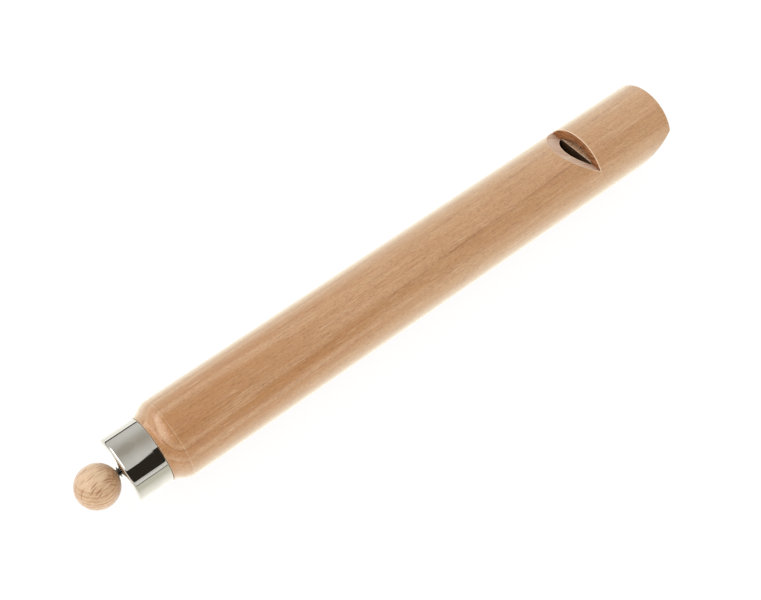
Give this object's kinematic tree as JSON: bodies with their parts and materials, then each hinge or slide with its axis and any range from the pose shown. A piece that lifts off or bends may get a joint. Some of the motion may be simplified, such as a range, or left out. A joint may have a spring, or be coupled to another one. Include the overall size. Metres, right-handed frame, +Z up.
{
  "type": "slide whistle",
  "caption": "Turned wooden slide whistle: round barrel with window and beak at the mouth, plated metal cap at the tail, and a ball-knob plunger that slides a packed piston along the bore.",
  "frame": {"origin": "on the bore axis, in the plane where the round barrel meets the shoulder of its tail", "axes": "+X along the bore towards the mouth, +Z up through the middle of the window, Y across"},
  "size_m": [0.2515, 0.029, 0.029],
  "materials": {
    "pear_wood": "turned and waxed, satin",
    "block_wood": "planed and sanded, unfinished",
    "nickel_plate": "polished nickel plate",
    "steel": "drawn wire, dark",
    "beech": "turned and waxed, satin",
    "brass": "turned",
    "leather": "greased",
    "felt": "pressed wool felt"
  },
  "bodies": {
    "whistle": {"barrel": "pear_wood", "fipple_block": "block_wood", "end_cap": "nickel_plate", "stop_felt": "felt"},
    "piston": {"piston_leather": "leather", "piston_felt": "felt"},
    "plunger": {"slide_rod": "steel", "knob": "beech", "front_nut": "brass", "rear_nut": "brass", "front_washer": "steel", "rear_washer": "steel"}
  },
  "joints": [
    {"name": "piston_slide", "type": "slide", "parent": "whistle", "child": "piston", "axis": [-1, 0, 0], "range_m": [-0.0006, 0.1363]},
    {"name": "knob_twist", "type": "hinge", "parent": "piston", "child": "plunger", "pos_m": [0, 0, 0], "axis": [1, 0, 0], "continuous": true}
  ]
}
